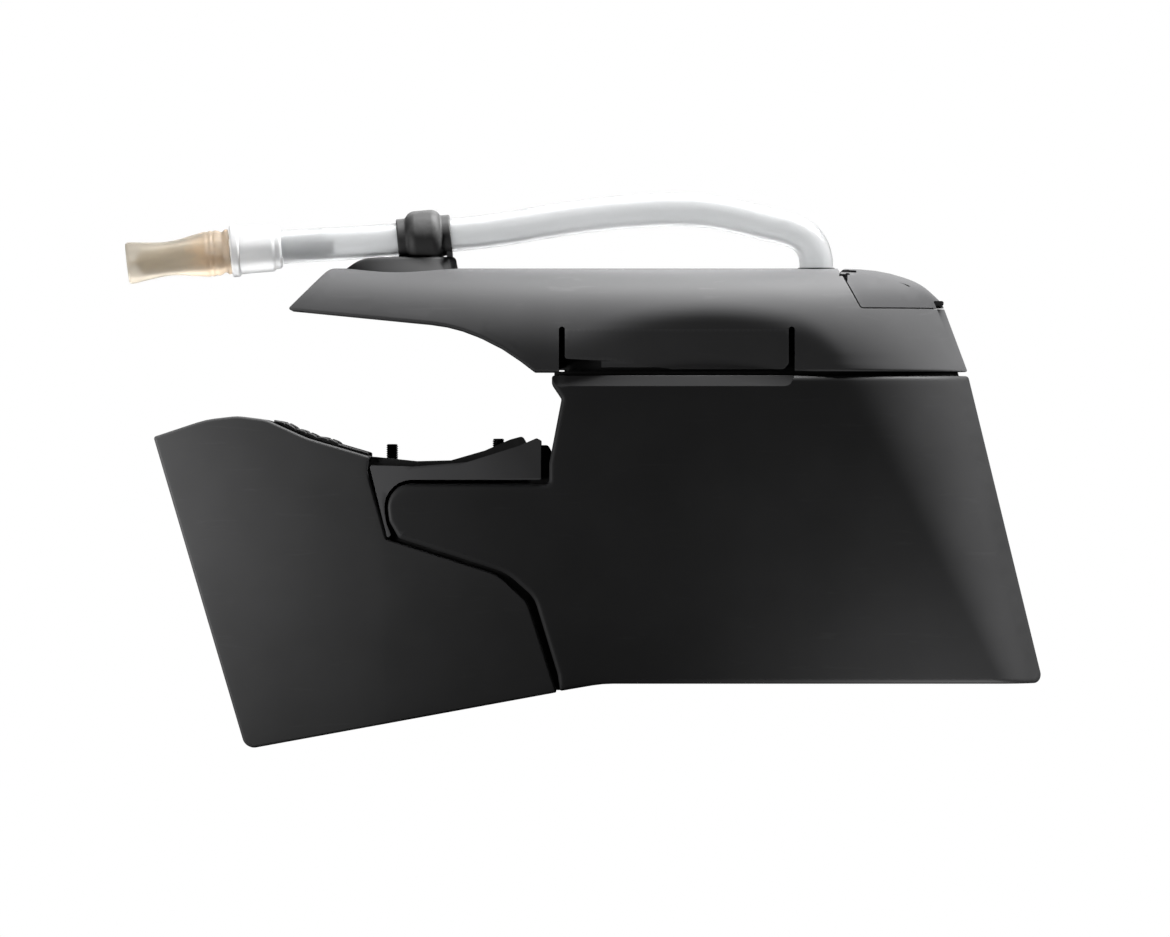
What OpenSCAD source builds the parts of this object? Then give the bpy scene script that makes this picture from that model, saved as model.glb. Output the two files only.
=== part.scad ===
// Aero drink system for the front of a bicycle. A hollow reservoir slides onto a T rail under the
// stem bracket, a lift-off cover carries the fill door and the drinking straw, and a fairing fills
// the space back to the head tube. X points forward, Z up, and the origin is the centre of the two
// stem studs, on their seat plane.

/* [Body] */
// Width across the reservoir, cover, bracket and fairing
body_w = 58; // [56:1:62]
// Wall of the cover and the fairing
wall = 2; // [1.8:0.1:2.2]
// Wall of the reservoir
tank_wall = 1.8; // [1.6:0.1:2]
// Length over which the nose rounds in, seen from above, at the cover's edge
nose_l = 44; // [38:1:48]
// Length over which the nose rounds in at the bottom of the reservoir
nose_foot_l = 16; // [12:1:24]

/* [Cover] */
// Highest line of the cover
cover_top = 64.2; // [64:0.1:64.4]
// Lower edge of the cover
cover_edge = 29.9; // [29.8:0.1:30.2]
// Thickness of the fill door
door_t = 2; // [1.8:0.1:2.2]
// Length of the latch tabs
tab_l = 73.6; // [60:0.1:73.6]
// Height at which the latch tabs flex
tab_z = 44.6; // [42:0.1:44.6]
// Half width of the cover at the bottom of the finger dish round each latch tab
dish_y = 26.2; // [26:0.1:26.6]

/* [Bracket] */
// Distance between the two stem studs
stud_pitch = 35.2; // [34:0.1:36]
// Thread radius of the stem studs
stud_r = 2; // [1.9:0.1:2.1]
// Overall length of a stem stud
stud_l = 11.8; // [11:0.1:12]
// Width of the T rail's head
rail_w = 19; // [18:0.5:20]

/* [Straw] */
// Outer radius of the straw
straw_r = 5.55; // [5.5:0.05:5.6]
// Bore radius of the straw
straw_bore = 4; // [3.9:0.05:4]
// Where the straw passes up through the cover
straw_x = 123; // [122.8:0.1:123.2]

/* [Fits] */
// Gap between moulded parts that move past each other
play = 0.4; // [0.35:0.05:0.45]

/* [Hidden] */
$fn = 48;
half_w = body_w / 2;
far = 400;

// Outlines seen from the side. Each corner is [x, z, radius of its rounding].
bracket_outline = [
    [-24.6, -1.0, 0.8], [7.9, -2.0, 80], [30.4, 7.9, 0.8], [31.8, 7.2, 0.6], [31.8, -5.8, 0.6],
    [-20.7, -5.8, 9], [-19.2, -19.4, 4.8], [-17.5, -24.0, 0.4], [-18.7, -24.9, 0.4]
];
pad_floor = [[-24.5, -3.2, 0], [7.9, -4.2, 80], [27.2, 4.2, 0]];
pad_outline = concat(
    pad_floor, [[27.0, 6.2, 0.5], [25.6, 8.5, 0.8], [21.8, 7.5, 6], [2.5, -0.9, 45], [-24.5, 1.9, 0.8]]
);
seam = [[-25.2, -3.1, 1], [-18.9, -25.2, 1.5], [18.0, -37.0, 14], [27.5, -46.0, 8]];
fairing_outline = concat(
    [[-24.6, 1.9, 0.5]], seam,
    [
        [37.0, -75.7, 0.3], [-65.3, -94.5, 4], [-95.7, 8.3, 0.6], [-78.5, 14.0, 30], [-68.0, 15.2, 15],
        [-58.5, 14.0, 12], [-45.0, 7.9, 30]
    ]
);
fairing_hollow = concat(
    [[-24.6, 60, 0]], seam, [[36.6, -75.7, 0.3], [-65.3, -94.5, 0], [-165.3, -113, 0], [-165.3, 60, 0]]
);
reservoir_outline = [
    [38.0, -75.3, 0.4], [52.0, -72.9, 40], [198.4, -72.9, 3], [173.7, 28.5, 1.5], [35.4, 28.5, 0.5],
    [35.4, 25.6, 2], [38.6, 20.8, 2], [34.5, -0.5, 4], [34.5, -7.0, 1.2], [-19.9, -7.0, 8],
    [-18.3, -19.5, 4], [-14.9, -25.0, 2], [20.5, -36.4, 18], [29.6, -44.6, 10], [37.3, -69.8, 2]
];
cover_rear = [[29.6, cover_edge, 1.2], [19.0, 38.0, 60], [3.0, 45.0, 50]];
cover_roof = [
    [-52.0, 50.3, 0.6], [-38.1, cover_top, 5], [130.0, cover_top, 60], [145.0, 63.6, 50],
    [157.6, 59.2, 20], [164.8, 52.6, 0.8]
];
cover_outline = concat(cover_rear, cover_roof, [[173.3, cover_edge, 0.4]]);
cover_hollow = concat([[-52.0, 10, 0]], cover_roof, [[181.2, 10, 0]]);
door_outline = [[130.4, 80, 0], [130.4, 63.9, 0], [137.3, 51.0, 1.2], [190, 51.0, 0], [190, 80, 0]];
tab_x = 39.7;
tab_end = tab_x + tab_l;
tab_outline = [
    [tab_x, tab_z, 0], [tab_x, 34.0, 0.6], [tab_x + 17, 33.2, 4], [tab_x + 35.3, 30.6, 8],
    [tab_end - 1.6, 30.6, 0.8], [tab_end, 32.4, 0.8], [tab_end, tab_z, 0]
];
slit = 2;

// Lowest point of the nose, and how far it and the cover's front lean back per millimetre of height
foot_x = 198.2;
foot_z = -72.9;
nose_lean = 0.2436;
front_x = 173.3;
cover_lean = 0.3744;
tail_w = 37;
tail_x = 40;
dish_x = 86;
dish_r = 286;

// The door's hinge pin
pin = [133.0, 61.7];
pin_r = 0.75;
knuckle_r = 2.4;
lug_y = 10;
lug_w = 2.6;
port = [139, 157, 22];

// The straw's free route as [x, z]; it lies in the middle plane.
straw_route = [
    [123, 59.5], [123, 64], [122.8, 67.5], [121.5, 71.5], [118.5, 75], [113, 77.5], [105, 79.4],
    [97, 81.4], [89, 83], [80, 83.7], [72, 83.7], [60, 83], [50, 82], [40, 80.7], [30, 79.1],
    [20, 77.4], [10, 76.1], [0, 75.2], [-10, 74.3], [-20, 73.4], [-30, 72.7], [-40, 72.2],
    [-50, 71.6], [-54, 71.3]
];
straw_sides = 12;
ring_at = [-7, 0, 74.6];
ring_tilt = 5.1;
collar_at = [-54, 0, 71.3];
collar_tilt = 4.6;
valve_at = [-71, 0, 69.9];
valve_tilt = 6.6;

// Points of an arc about c from p to q, at most step degrees apart.
function arc(c, p, q, step) =
    let (
        a0 = atan2(p[1] - c[1], p[0] - c[0]),
        turn = (atan2(q[1] - c[1], q[0] - c[0]) - a0 + 540) % 360 - 180,
        n = max(1, ceil(abs(turn) / step)),
        r = norm(p - c)
    )
    [for (i = [0 : n]) c + r * [cos(a0 + turn * i / n), sin(a0 + turn * i / n)]];

// Corner i of an outline, replaced by its rounding.
function corner(c, i, step) =
    let (
        n = len(c),
        p = [c[i][0], c[i][1]],
        before = [c[(i + n - 1) % n][0], c[(i + n - 1) % n][1]] - p,
        after = [c[(i + 1) % n][0], c[(i + 1) % n][1]] - p,
        u = before / norm(before),
        v = after / norm(after),
        half = acos(u * v) / 2,
        r = c[i][2]
    )
    r == 0
        ? [p]
        : arc(p + (u + v) / norm(u + v) * r / sin(half), p + u * r / tan(half), p + v * r / tan(half), step);

function rounded(c, step = 15) = [for (i = [0 : len(c) - 1]) each corner(c, i, step)];

// Cross-section of the cover: upright sides that round into a full crown.
crown_power = 2.6;
function crown(step = 9) = concat(
    [[half_w, 0], [-half_w, 0]],
    [
        for (a = [180 : -step : 0])
            [
                half_w * sign(cos(a)) * pow(abs(cos(a)), 2 / crown_power),
                cover_edge + (cover_top - cover_edge) * pow(abs(sin(a)), 2 / crown_power)
            ]
    ]
);

// Plan of the nose: straight sides closed by half an ellipse of length l that ends at x = 0.
function nose(l, step = 7.5) = concat(
    [[-far, -half_w]],
    [for (a = [-90 : step : 90]) [l * (cos(a) - 1), half_w * sin(a)]],
    [[-far, half_w]]
);

// Half width of the cover's tail, which narrows backwards from tail_x.
function tail_half(x) = half_w - (half_w - tail_w / 2) * pow(max(0, tail_x - x) / (tail_x + 60), 2);

module across(w) rotate([90, 0, 0]) linear_extrude(w, center = true) children();
module along(x0, x1) translate([x0, 0, 0]) rotate([90, 0, 90]) linear_extrude(x1 - x0) children();
module both_sides() {
    children();
    mirror([0, 1, 0]) children();
}

// The nose between two heights. The front line passes through [x0, z0] and [x1, z1], and the nose
// is l0 long at z0 and l1 long at z1.
module nose_block(x0, z0, l0, x1, z1, l1, inset) {
    plate = 0.01;
    hull() {
        translate([x0, 0, z0]) linear_extrude(plate) offset(delta = -inset) polygon(nose(l0));
        translate([x1, 0, z1 - plate]) linear_extrude(plate) offset(delta = -inset) polygon(nose(l1));
    }
}

// Position and nose length carried on past the reservoir's foot and the cover's edge.
function nose_x(z) = foot_x - (z - foot_z) * nose_lean;
function nose_len(z) = nose_foot_l + (nose_l - nose_foot_l) * (z - foot_z) / (cover_edge - foot_z);

module reservoir_plan(inset) {
    nose_block(nose_x(-90), -90, nose_len(-90), nose_x(42), 42, nose_len(42), inset);
}

module reservoir_form(inset) {
    intersection() {
        across(body_w - 2 * inset) offset(delta = -inset) polygon(rounded(reservoir_outline));
        reservoir_plan(inset);
    }
}

// Plan of the cover without its nose: a tail that narrows and a shallow finger dish in each side.
function side_y(x) =
    x < tail_x ? tail_half(x) : min(half_w, dish_y + pow(x - dish_x, 2) / (2 * dish_r));
cover_stations = concat([for (x = [-60 : 10 : 30]) x], [for (x = [tail_x : 5.75 : 132]) x], [200]);

module cover_form(inset, outline) {
    intersection() {
        across(body_w - 2 * inset) offset(delta = -inset) polygon(rounded(outline));
        along(-60, 200) offset(delta = -inset) polygon(crown());
        nose_block(
            front_x + 30 * cover_lean, cover_edge - 30, nose_l,
            front_x - 40 * cover_lean, cover_edge + 40, nose_l + 16, inset
        );
        linear_extrude(far, center = true)
            offset(delta = -inset)
                polygon(concat(
                    [for (x = cover_stations) [x, -side_y(x)]],
                    [
                        for (i = [1 : len(cover_stations)])
                            let (x = cover_stations[len(cover_stations) - i]) [x, side_y(x)]
                    ]
                ));
    }
}

module door_prism(grow) across(far) offset(delta = grow) polygon(rounded(door_outline));
module at_pin() translate([pin[0], 0, pin[1]]) rotate([90, 0, 0]) children();

// ---- Bracket and fairing ----

rail_neck_w = 11;
rail_z = [-10.3, -15];
rail_x = [-21.3, 30];
boss_z = [-1.8, 0];
boss_r = 3.9;
screw_y = 5.8;
screw_z = -12.6;

module rail(grow) {
    neck = rail_neck_w / 2 + grow;
    head = rail_w / 2 + grow;
    polygon([
        [-neck, -5], [neck, -5], [neck, rail_z[0] + grow], [head, rail_z[0] + grow],
        [head, rail_z[1] - grow], [-head, rail_z[1] - grow], [-head, rail_z[0] + grow],
        [-neck, rail_z[0] + grow]
    ]);
}

module bracket() {
    color([0.08, 0.08, 0.085])
        difference() {
            union() {
                difference() {
                    across(body_w) polygon(rounded(bracket_outline));
                    across(body_w - 6)
                        polygon(rounded(concat(pad_floor, [[27.2, 30, 0], [-40, 30, 0], [-40, -2.9, 0]])));
                }
                for (i = [0, 1])
                    translate([(i - 0.5) * stud_pitch, 0, -5]) cylinder(boss_z[i] + 5, boss_r, boss_r);
                along(rail_x[0], rail_x[1]) rail(0);
            }
            for (i = [0, 1])
                translate([(i - 0.5) * stud_pitch, 0, 0]) {
                    seat = boss_z[i] - 4;
                    translate([0, 0, boss_z[i]]) cylinder(12, boss_r, boss_r);
                    translate([0, 0, seat - 20]) cylinder(20.05, 4.2, 4.2);
                    translate([0, 0, seat]) cylinder(2.25, 4.2, 1.95);
                    translate([0, 0, seat]) cylinder(20, 1.95, 1.95);
                }
            both_sides()
                translate([rail_x[0] - 5, screw_y, screw_z]) rotate([0, 90, 0]) cylinder(15, 2.05, 2.05);
        }
}

module bed_pad() {
    color([0.05, 0.05, 0.05])
        difference() {
            across(body_w - 6.4) polygon(rounded(pad_outline));
            for (s = [-0.5, 0.5])
                translate([s * stud_pitch, 0, -10]) cylinder(30, boss_r + 0.1, boss_r + 0.1);
            both_sides() for (y = [8.5, 14, 19.5])
                translate([-30, y, 0.4]) rotate([0, 90, 0]) cylinder(12, 0.9, 0.9);
        }
}

module stem_studs() {
    color([0.12, 0.12, 0.13]) for (i = [0, 1])
        translate([(i - 0.5) * stud_pitch, 0, boss_z[i] - 4]) {
            difference() {
                cylinder(2.2, 4, 1.8);
                translate([0, 0, -1]) cylinder(2.4, 1.45, 1.45, $fn = 6);
            }
            translate([0, 0, 2.1]) cylinder(1.95, 1.8, 1.8);
            translate([0, 0, 4]) cylinder(stud_l - 4.5, stud_r, stud_r);
            translate([0, 0, stud_l - 0.5]) cylinder(0.5, stud_r, stud_r - 0.45);
        }
}

module fairing_plan(inset) {
    linear_extrude(far, center = true)
        offset(delta = -inset)
            polygon([[-180, -half_w + 6], [60, -half_w - 3], [60, half_w + 3], [-180, half_w - 6]]);
}

module fairing() {
    color([0.15, 0.15, 0.155])
        difference() {
            union() {
                difference() {
                    intersection() {
                        across(body_w) polygon(rounded(fairing_outline));
                        fairing_plan(0);
                    }
                    intersection() {
                        across(body_w - 2 * wall) offset(delta = -wall) polygon(rounded(fairing_hollow));
                        fairing_plan(wall);
                    }
                }
                both_sides()
                    translate([-26, screw_y, screw_z]) rotate([0, 90, 0]) cylinder(3, 4.4, 4.4);
            }
            both_sides()
                translate([-40, screw_y, screw_z]) rotate([0, 90, 0]) cylinder(30, 1.7, 1.7);
        }
}

// Toothed rubber edging along the inside of both fairing walls.
module edge_strips() {
    teeth = 22;
    strip_t = 1.8;
    x0 = -56;
    run = 28.6;
    function rise(t) = 14.6 - 11.6 * pow(t, 0.82);
    top = [
        for (i = [0 : 2 * teeth])
            let (t = i / (2 * teeth)) [x0 + run * t, rise(t) + (i % 2 == 0 ? 0 : 0.5)]
    ];
    foot = [for (i = [8 : -1 : 0]) let (t = i / 8) [x0 + run * t, rise(t) - 5]];
    color([0.06, 0.06, 0.06])
        difference() {
            intersection() {
                across(body_w) polygon(concat(top, foot));
                fairing_plan(wall);
            }
            fairing_plan(wall + strip_t);
        }
}

module fairing_screws() {
    color([0.2, 0.2, 0.21]) both_sides()
        translate([-28, screw_y, screw_z]) rotate([0, 90, 0]) {
            difference() {
                cylinder(2, 2.75, 2.75);
                translate([0, 0, -1]) cylinder(2.2, 1.2, 1.2, $fn = 6);
            }
            cylinder(12, 1.45, 1.45);
        }
}

module rail_inserts() {
    color([0.75, 0.6, 0.3]) both_sides()
        translate([rail_x[0] + 1.2, screw_y, screw_z])
            rotate([0, 90, 0])
                difference() {
                    cylinder(6, 2.05, 2.05);
                    translate([0, 0, -1]) cylinder(8, 1.45, 1.45);
                }
}

// ---- Reservoir ----

neck_in = 5.6;
neck_t = 1.8;
neck_top = 35.4;

module neck_block(inset, x0, z0, z1) {
    intersection() {
        reservoir_plan(inset);
        across(body_w - 2 * inset) polygon([[x0, z0], [190, z0], [190, z1], [x0, z1]]);
    }
}

module reservoir() {
    color([0.06, 0.06, 0.065])
        difference() {
            union() {
                reservoir_form(0);
                neck_block(neck_in, 39.5, 27, neck_top);
            }
            difference() {
                reservoir_form(tank_wall);
                translate([-20, -13, -18]) cube([54.4, 26, 12]);
            }
            neck_block(neck_in + neck_t, 41.3, 20, neck_top + 1);
            along(-40, 32.2) rail(play);
            both_sides() along(30, 114.3)
                polygon([[half_w, 25.1], [half_w + 2, 25.1], [half_w + 2, 30], [half_w - 1.5, 30]]);
            both_sides() along(43, 110)
                translate([half_w - neck_in - 0.8, 30.6]) square([2, 3]);
        }
}

module neck_gasket() {
    color([0.03, 0.03, 0.03])
        difference() {
            neck_block(3.2, 36.2, 28.5, cover_edge - 0.1);
            neck_block(5.3, 38.9, 28, 31);
        }
}

// ---- Cover ----

floor_in = 3.2;
floor_t = 1.6;

module hinge_block() {
    intersection() {
        cover_form(wall / 2, cover_outline);
        translate([130.2, -14.5, 57.4]) cube([7.4, 29, 8]);
    }
}

module top_cover() {
    color([0.3, 0.3, 0.31])
        difference() {
            union() {
                difference() {
                    cover_form(0, cover_outline);
                    cover_form(wall, cover_hollow);
                }
                difference() {
                    intersection() {
                        cover_form(0, cover_outline);
                        door_prism(wall + play);
                    }
                    cover_form(floor_in + floor_t, cover_hollow);
                }
                hinge_block();
                intersection() {
                    cover_form(wall / 2, cover_outline);
                    across(far) polygon([[36.0, 20], [37.9, 20], [37.9, 70], [36.0, 70]]);
                }
            }
            difference() {
                door_prism(play);
                cover_form(floor_in, cover_hollow);
                at_pin() both_sides() translate([0, 0, lug_y - lug_w / 2]) cylinder(lug_w, 1.9, 1.9);
                both_sides()
                    translate([pin[0] - 1.9, lug_y - lug_w / 2, pin[1] - 6]) cube([3.8, lug_w, 6]);
            }
            difference() {
                at_pin() cylinder(30, knuckle_r + play, knuckle_r + play, center = true);
                both_sides()
                    translate([pin[0] - 8, lug_y - lug_w / 2, pin[1] - 8]) cube([16, lug_w, 9.9]);
            }
            at_pin() cylinder(28, pin_r, pin_r, center = true);
            translate([port[0], -port[2] / 2, 45]) cube([port[1] - port[0], port[2], 25]);
            translate([straw_x, 0, 50]) cylinder(20, 6.15, 6.15);
            translate([ring_at[0], 0, 50]) cylinder(20, 2.2, 2.2);
            both_sides()
                translate([0, far / 2 + 12, 0])
                    across(far)
                        polygon(rounded([
                            [tab_x - slit, tab_z, slit / 2 - 0.01], [tab_x - slit, 20, 0],
                            [tab_end + slit, 20, 0], [tab_end + slit, tab_z, slit / 2 - 0.01]
                        ]));
        }
}

module latch_tab() {
    intersection() {
        difference() {
            cover_form(0, cover_outline);
            cover_form(wall, cover_hollow);
        }
        translate([0, -far / 2 - 12, 0])
            across(far) translate([0, -0.3]) polygon(rounded(tab_outline));
    }
    translate([tab_x + 12, neck_in - half_w - 2.7, 31.2]) cube([tab_l - 24, 2.4, 2]);
}

module latch_right() color([0.28, 0.28, 0.29]) latch_tab();
module latch_left() color([0.28, 0.28, 0.29]) mirror([0, 1, 0]) latch_tab();

module fill_door() {
    color([0.35, 0.35, 0.36])
        difference() {
            union() {
                intersection() {
                    difference() {
                        cover_form(0, cover_outline);
                        cover_form(door_t, cover_hollow);
                    }
                    door_prism(0);
                    across(far)
                        polygon([[pin[0], 80], [pin[0], pin[1]], [pin[0] - 1.5, 40], [190, 40], [190, 80]]);
                }
                intersection() {
                    at_pin() cylinder(27, knuckle_r, knuckle_r, center = true);
                    cover_form(0, cover_outline);
                }
                translate([162.4, -9, 52.4]) cube([2.4, 18, 1]);
            }
            at_pin() cylinder(28, pin_r + 0.05, pin_r + 0.05, center = true);
            both_sides()
                translate([pin[0] - 5, lug_y - lug_w / 2 - 0.3, pin[1] - 5]) cube([8, lug_w + 0.6, 7.2]);
        }
}

module door_pin() color([0.7, 0.7, 0.72]) at_pin() cylinder(26, pin_r, pin_r, center = true);

module port_frame(inset, thick) {
    rim = 2.2;
    port_foot = 51.2;
    intersection() {
        difference() {
            cover_form(inset, cover_hollow);
            cover_form(inset + thick, cover_hollow);
        }
        translate([port[0] - rim + 0.4, -port[2] / 2 - rim, port_foot])
            cube([port[1] - port[0] + 2 * rim - 0.4, port[2] + 2 * rim, 30]);
    }
}

module port_gasket() {
    color([0.1, 0.1, 0.1])
        difference() {
            port_frame(door_t + 0.2, floor_in - door_t - 0.2);
            translate([port[0], -port[2] / 2, 45]) cube([port[1] - port[0], port[2], 25]);
        }
}

// ---- Straw ----

// Its flange is cut flat at the front, where the door's seat begins.
module straw_grommet() {
    body_r = 6.1;
    flat_x = 5.9;
    color([0.1, 0.1, 0.1])
        translate([straw_x, 0, 0])
            difference() {
                union() {
                    translate([0, 0, 59]) cylinder(2.2, 7, 7);
                    translate([0, 0, 61]) cylinder(3.4, body_r, body_r);
                }
                translate([0, 0, 50]) cylinder(20, straw_r + 0.05, straw_r + 0.05);
                translate([flat_x, -10, 58]) cube([4, 20, 3.4]);
            }
}

module dip_tube() {
    color([0.9, 0.92, 0.93])
        difference() {
            translate([straw_x, 0, -68]) cylinder(127.4, straw_r, straw_r);
            translate([straw_x, 0, -90]) cylinder(160, straw_bore, straw_bore);
            translate([straw_x - 10, 0, -76]) rotate([0, 30, 0]) cube([30, 30, 12], center = true);
        }
}

// Rings of points about the route, swept into one closed tube.
function heading(i) =
    let (
        n = len(straw_route),
        d = straw_route[min(i + 1, n - 1)] - straw_route[max(i - 1, 0)]
    )
    i == 0 ? [0, 1] : d / norm(d);

function ring(i, r) = [
    for (k = [0 : straw_sides - 1])
        let (
            a = (k + 0.5) * 360 / straw_sides,
            h = heading(i),
            p = straw_route[i]
        )
        [p[0] - h[1] * r * cos(a), r * sin(a), p[1] + h[0] * r * cos(a)]
];

function tube_points() = concat(
    [for (i = [0 : len(straw_route) - 1]) each ring(i, straw_r)],
    [for (i = [0 : len(straw_route) - 1]) each ring(i, straw_bore)]
);

function tube_faces() =
    let (
        n = straw_sides,
        rings = len(straw_route),
        inner = n * rings
    )
    concat(
        [
            for (i = [0 : rings - 2], k = [0 : n - 1])
                let (a = i * n + k, b = i * n + (k + 1) % n) [a, b, b + n, a + n]
        ],
        [
            for (i = [0 : rings - 2], k = [0 : n - 1])
                let (a = inner + i * n + k, b = inner + i * n + (k + 1) % n) [a + n, b + n, b, a]
        ],
        [for (k = [0 : n - 1]) let (l = (k + 1) % n) [k, inner + k, inner + l, l]],
        [
            for (k = [0 : n - 1])
                let (l = (k + 1) % n, e = n * (rings - 1)) [e + l, inner + e + l, inner + e + k, e + k]
        ]
    );

module straw() color([0.93, 0.94, 0.95]) polyhedron(tube_points(), tube_faces(), convexity = 8);

module holder_base() {
    side = [
        [-33, 58, 0], [-33, 63.8, 0], [-27.5, 67.6, 12], [-18, 68, 6], [3.0, 68, 1.2], [4.9, 64, 0],
        [4.9, 58, 0]
    ];
    color([0.15, 0.15, 0.15])
        difference() {
            intersection() {
                across(22) polygon(rounded(side));
                translate([-13, 0, 50]) linear_extrude(30)
                    polygon([for (a = [0 : 12 : 348]) [18.9 * cos(a) - 1.2, 10 * sin(a)]]);
            }
            cover_form(0, cover_outline);
            translate([ring_at[0], 0, 50]) cylinder(30, 4.6, 4.6);
        }
}

module holder_ring() {
    profile = [
        [5.75, -9], [6.4, -9], [6.7, -8.5], [6.7, -5.6], [7.9, -4.6], [8.6, -2.8], [8.9, 0],
        [8.6, 2.8], [7.9, 4.6], [6.7, 5.6], [6.7, 8.5], [6.4, 9], [5.75, 9]
    ];
    color([0.12, 0.12, 0.12])
        difference() {
            union() {
                difference() {
                    translate(ring_at) rotate([0, 90 - ring_tilt, 0]) rotate_extrude() polygon(profile);
                    translate([-40, -20, 40]) cube([80, 40, 28.05]);
                }
                difference() {
                    translate([ring_at[0], 0, 64.4]) cylinder(5, 4.5, 4.5);
                    translate(ring_at)
                        rotate([0, 90 - ring_tilt, 0]) cylinder(40, 5.75, 5.75, center = true);
                }
            }
            translate([ring_at[0], 0, 60]) cylinder(7.4, 2.02, 2.02);
        }
}

module holder_screw() {
    color([0.6, 0.6, 0.62])
        translate([ring_at[0], 0, 0])
            difference() {
                union() {
                    translate([0, 0, 59.4]) cylinder(2.6, 3.6, 3.6);
                    translate([0, 0, 61]) cylinder(6, 2, 2);
                }
                translate([0, 0, 58]) cylinder(3, 1.5, 1.5, $fn = 6);
            }
}

module valve_connector() {
    profile = [
        [2.8, -26], [4.2, -26], [4.2, -17.2], [8.1, -17.2], [8.6, -16.8], [8.6, -14.8], [7.9, -14.2],
        [7.8, -3.4], [7.2, -1.6], [6.4, -0.3], [3.5, -0.3], [3.5, 6], [4.1, 6.2], [3.5, 9.6], [3.5, 12],
        [4.1, 12.2], [3.2, 17], [2.8, 17]
    ];
    color([0.92, 0.93, 0.94])
        translate(collar_at) rotate([0, 90 - collar_tilt, 0]) rotate_extrude() polygon(profile);
}

module bite_valve() {
    profile = [
        [4.1, -0.4], [7.3, -0.4], [7.5, -1.6], [6.8, -2.4], [7.3, -4.2], [7.6, -6], [7.4, -9],
        [6.7, -13], [5.9, -17.5], [5.6, -20.5], [5.8, -25], [6.3, -29.5], [6.9, -33.6], [6.6, -34.6],
        [0, -34.2], [0, -32.6], [3.8, -30], [3.8, -13], [4.1, -11]
    ];
    color([0.75, 0.62, 0.48])
        difference() {
            translate(valve_at) rotate([0, 90 - valve_tilt, 0]) rotate_extrude() polygon(profile);
            translate(valve_at) rotate([0, -valve_tilt, 0]) translate([-36, -3.6, -0.2]) cube([5, 7.2, 0.4]);
        }
}

bracket();
bed_pad();
stem_studs();
fairing();
edge_strips();
fairing_screws();
rail_inserts();
reservoir();
neck_gasket();
top_cover();
latch_right();
latch_left();
fill_door();
door_pin();
port_gasket();
straw_grommet();
dip_tube();
straw();
holder_base();
holder_ring();
holder_screw();
valve_connector();
bite_valve();
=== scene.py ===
import math

import bmesh
import bpy
import numpy as np
from mathutils import Matrix, Vector
from mathutils.geometry import delaunay_2d_cdt


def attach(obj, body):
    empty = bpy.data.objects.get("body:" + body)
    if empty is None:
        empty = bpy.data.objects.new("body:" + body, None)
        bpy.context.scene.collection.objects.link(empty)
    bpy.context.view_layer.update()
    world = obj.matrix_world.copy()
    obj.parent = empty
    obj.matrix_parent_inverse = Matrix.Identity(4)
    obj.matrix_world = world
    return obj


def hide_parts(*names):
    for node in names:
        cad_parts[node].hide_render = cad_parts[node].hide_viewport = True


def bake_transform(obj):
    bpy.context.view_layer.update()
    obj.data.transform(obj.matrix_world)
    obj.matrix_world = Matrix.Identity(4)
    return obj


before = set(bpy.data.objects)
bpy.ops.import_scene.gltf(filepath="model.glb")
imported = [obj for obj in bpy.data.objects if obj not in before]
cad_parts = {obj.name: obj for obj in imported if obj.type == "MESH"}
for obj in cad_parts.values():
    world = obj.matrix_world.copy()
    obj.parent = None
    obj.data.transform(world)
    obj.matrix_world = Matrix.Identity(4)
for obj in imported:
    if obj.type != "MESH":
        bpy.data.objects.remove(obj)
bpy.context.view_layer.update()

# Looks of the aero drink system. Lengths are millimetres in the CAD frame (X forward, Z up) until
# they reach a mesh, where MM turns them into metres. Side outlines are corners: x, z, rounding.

MM = 0.001
HALF_W = 29.0
WALL = 2.0
COVER_TOP = 64.2
COVER_EDGE = 29.9
PLAY = 0.4
STRAW_R = 5.55
STRAW_BORE = 4.0


# ---- Camera and studio ----

LENS = 300.0
SENSOR = 36.0
VIEW_WIDTH = 386.1 * MM
VIEW_CENTRE = Vector((46.3, -16.0, -2.1)) * MM


def link(name, data):
    obj = bpy.data.objects.new(name, data)
    bpy.context.scene.collection.objects.link(obj)
    return obj


def add_camera():
    data = bpy.data.cameras.new("camera")
    data.lens = LENS
    data.sensor_width = SENSOR
    data.clip_end = 50
    camera = link("camera", data)
    distance = LENS / SENSOR * VIEW_WIDTH
    camera.location = VIEW_CENTRE - Vector((0, distance, 0))
    camera.rotation_euler = (math.pi / 2, 0, 0)
    bpy.context.scene.camera = camera


# Name, then place, aim, size, power and spread in degrees.
LIGHTS = {
    "top_softbox": ((0.26, -0.009, 0.48), (0.14, -0.009, 0), (0.5, 0.06), 9.4, 180),
    "back_softbox": ((0.05, 0.95, 0.75), (0.05, 0, 0.02), (1.4, 0.5), 8, 180),
    "left_fill": ((-0.20, -0.125, -0.03), (-0.08, 0, -0.01), (0.06, 0.12), 0.15, 110),
    "low_right_fill": ((0.185, -0.11, -0.18), (0.165, -0.03, -0.07), (0.05, 0.04), 0.04, 80),
    "right_panel": ((0.80, 0.12, 0.20), (0.15, 0, 0.04), (0.3, 0.3), 0.35, 180),
}
FLOOR_R, FLOOR_SIDES, FLOOR_Z = 1.25, 64, -0.26


def add_light(name, at, aim, size, power, spread):
    data = bpy.data.lights.new(name, "AREA")
    data.shape = "RECTANGLE"
    data.size, data.size_y = size
    data.energy = power
    data.spread = math.radians(spread)
    light = link(name, data)
    light.visible_camera = False
    back = (Vector(at) - Vector(aim)).normalized()
    level = Vector((0, 1, 0)) if abs(back.x) > 0.8 else Vector((1, 0, 0))
    across = (level - back * level.dot(back)).normalized()
    turn = Matrix((across, back.cross(across), back)).transposed()
    light.matrix_world = Matrix.Translation(at) @ turn.to_4x4()


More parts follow.
